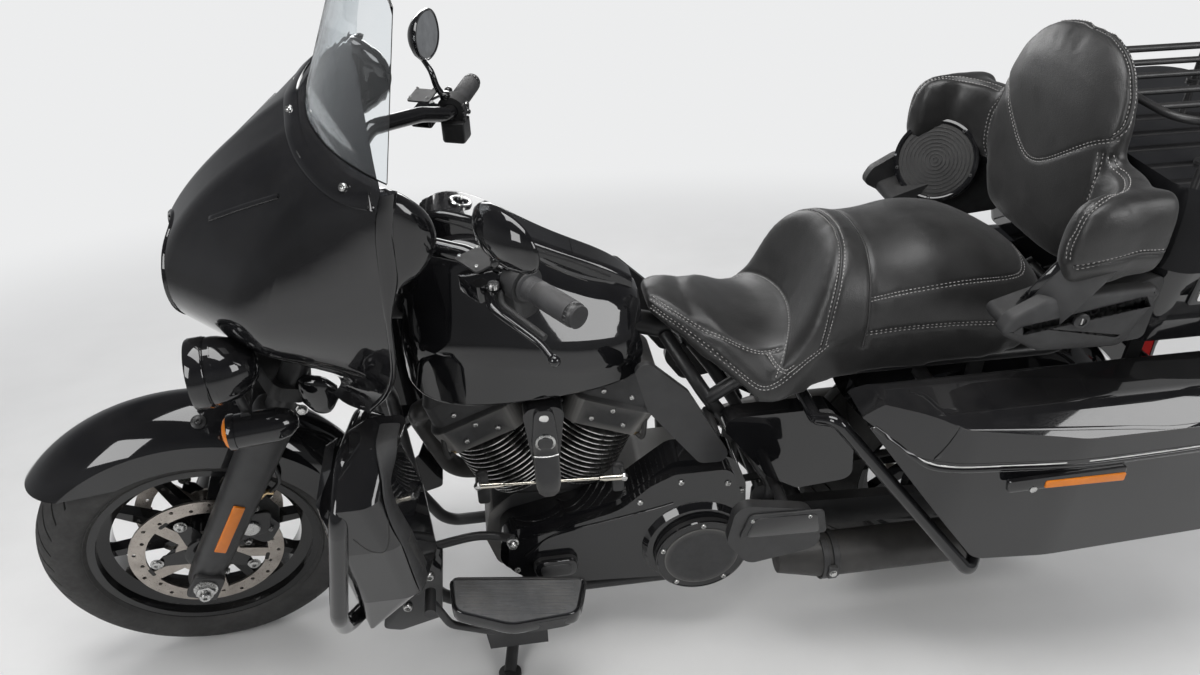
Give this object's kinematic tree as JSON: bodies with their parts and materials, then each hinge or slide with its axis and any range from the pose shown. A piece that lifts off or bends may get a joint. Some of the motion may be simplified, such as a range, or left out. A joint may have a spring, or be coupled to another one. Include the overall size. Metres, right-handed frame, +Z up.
{
  "type": "touring cruiser motorcycle",
  "caption": "Touring motorcycle with a fork-mounted fairing, saddlebags and a top case, leaning on its side stand; it rolls, steers, and its stand and lids move.",
  "frame": {"origin": "floor level under the middle of the bounding box", "axes": "+X to the front of the motorcycle, +Y to the rider's left, +Z up; the machine leans to +Y on its side stand"},
  "size_m": [2.5467, 0.9675, 1.4918],
  "materials": {
    "gloss_black_paint": "gloss",
    "gloss_black_body": "gloss",
    "satin_black_metal": "satin",
    "black_engine": "satin",
    "matte_black_plastic": "matte",
    "tyre_rubber": "matte",
    "wheel_black": "gloss",
    "rotor_steel": "satin",
    "black_leather": "satin",
    "clear_screen": "gloss",
    "lamp_glass": "gloss",
    "mirror_black": "gloss",
    "red_lens": "gloss",
    "belt_rubber": "matte",
    "exhaust_black": "satin"
  },
  "bodies": {
    "chassis": {"air_cleaner": "gloss_black_paint", "air_deflectors": "matte_black_plastic", "backrest": "black_leather", "cylinders": "black_engine", "drive_belt": "belt_rubber", "engine_case": "black_engine", "engine_guard": "gloss_black_paint", "exhaust_pipes": "exhaust_black", "foot_controls": "satin_black_metal", "footboards": "satin_black_metal", "frame": "satin_black_metal", "fuel_tank": "gloss_black_paint", "horn_cover": "gloss_black_paint", "lower_fairings": "gloss_black_body", "mufflers": "exhaust_black", "primary_access_covers": "black_engine", "primary_cover": "gloss_black_paint", "rear_fender": "gloss_black_paint", "rear_lamps": "red_lens", "rocker_covers": "black_engine", "saddlebag_guards": "gloss_black_paint", "saddlebags": "gloss_black_body", "seat": "black_leather", "shock_absorbers": "satin_black_metal", "side_covers": "gloss_black_body", "speaker_pods": "matte_black_plastic", "swingarm": "satin_black_metal", "tank_console": "matte_black_plastic", "timing_cover": "black_engine", "top_case": "gloss_black_body"},
    "steering": {"front_fork": "satin_black_metal", "front_calipers": "satin_black_metal", "front_fender": "gloss_black_paint", "outer_fairing": "gloss_black_body", "inner_fairing": "matte_black_plastic", "headlamp": "lamp_glass", "windshield": "clear_screen", "handlebar": "gloss_black_paint", "hand_controls": "matte_black_plastic", "mirrors": "mirror_black", "front_lamps": "gloss_black_paint"},
    "front_wheel_body": {"front_tyre": "tyre_rubber", "front_wheel": "wheel_black", "front_rotors": "rotor_steel"},
    "rear_wheel_body": {"rear_tyre": "tyre_rubber", "rear_wheel": "wheel_black", "rear_rotor": "rotor_steel", "drive_pulley": "wheel_black"},
    "stand": {"side_stand": "satin_black_metal"},
    "left_bag_lid": {"saddlebag_lid_left": "gloss_black_body"},
    "right_bag_lid": {"saddlebag_lid_right": "gloss_black_body"},
    "case_lid": {"top_case_lid": "gloss_black_body", "luggage_rack": "satin_black_metal"},
    "filler_door": {"fuel_door": "gloss_black_paint"}
  },
  "joints": [
    {"name": "steering", "type": "hinge", "parent": "chassis", "child": "steering", "pos_m": [0.70816, -0.0162, 0.83889], "axis": [-0.4356, 0.1869, 0.8805], "range_deg": [-39, 21]},
    {"name": "front_wheel_spin", "type": "hinge", "parent": "steering", "child": "front_wheel_body", "pos_m": [0.95611, -0.13037, 0.31039], "axis": [-0.1415, 0.9518, -0.272], "continuous": true},
    {"name": "rear_wheel_spin", "type": "hinge", "parent": "chassis", "child": "rear_wheel_body", "pos_m": [-0.66902, -0.12847, 0.31497], "axis": [-0.0006, 0.9781, -0.2079], "continuous": true},
    {"name": "side_stand_fold", "type": "hinge", "parent": "chassis", "child": "stand", "pos_m": [0.31532, -0.04822, 0.10265], "axis": [-0.0751, 0.6551, 0.7518], "range_deg": [0, 89]},
    {"name": "left_bag_lid", "type": "hinge", "parent": "chassis", "child": "left_bag_lid", "pos_m": [-0.76833, 0.31229, 0.53955], "axis": [-0.9997, 0.0048, 0.0258], "range_deg": [0, 90]},
    {"name": "right_bag_lid", "type": "hinge", "parent": "chassis", "child": "right_bag_lid", "pos_m": [-0.76783, -0.4399, 0.69943], "axis": [0.9997, -0.0048, -0.0258], "range_deg": [0, 90]},
    {"name": "top_case_lid", "type": "hinge", "parent": "chassis", "child": "case_lid", "pos_m": [-1.03426, 0.32529, 0.88291], "axis": [-1, 0, 0.0031], "range_deg": [0, 90]},
    {"name": "fuel_door", "type": "hinge", "parent": "chassis", "child": "filler_door", "pos_m": [0.16086, 0.00056, 0.91943], "axis": [0.0006, -0.9781, 0.2079], "range_deg": [0, 95]}
  ]
}
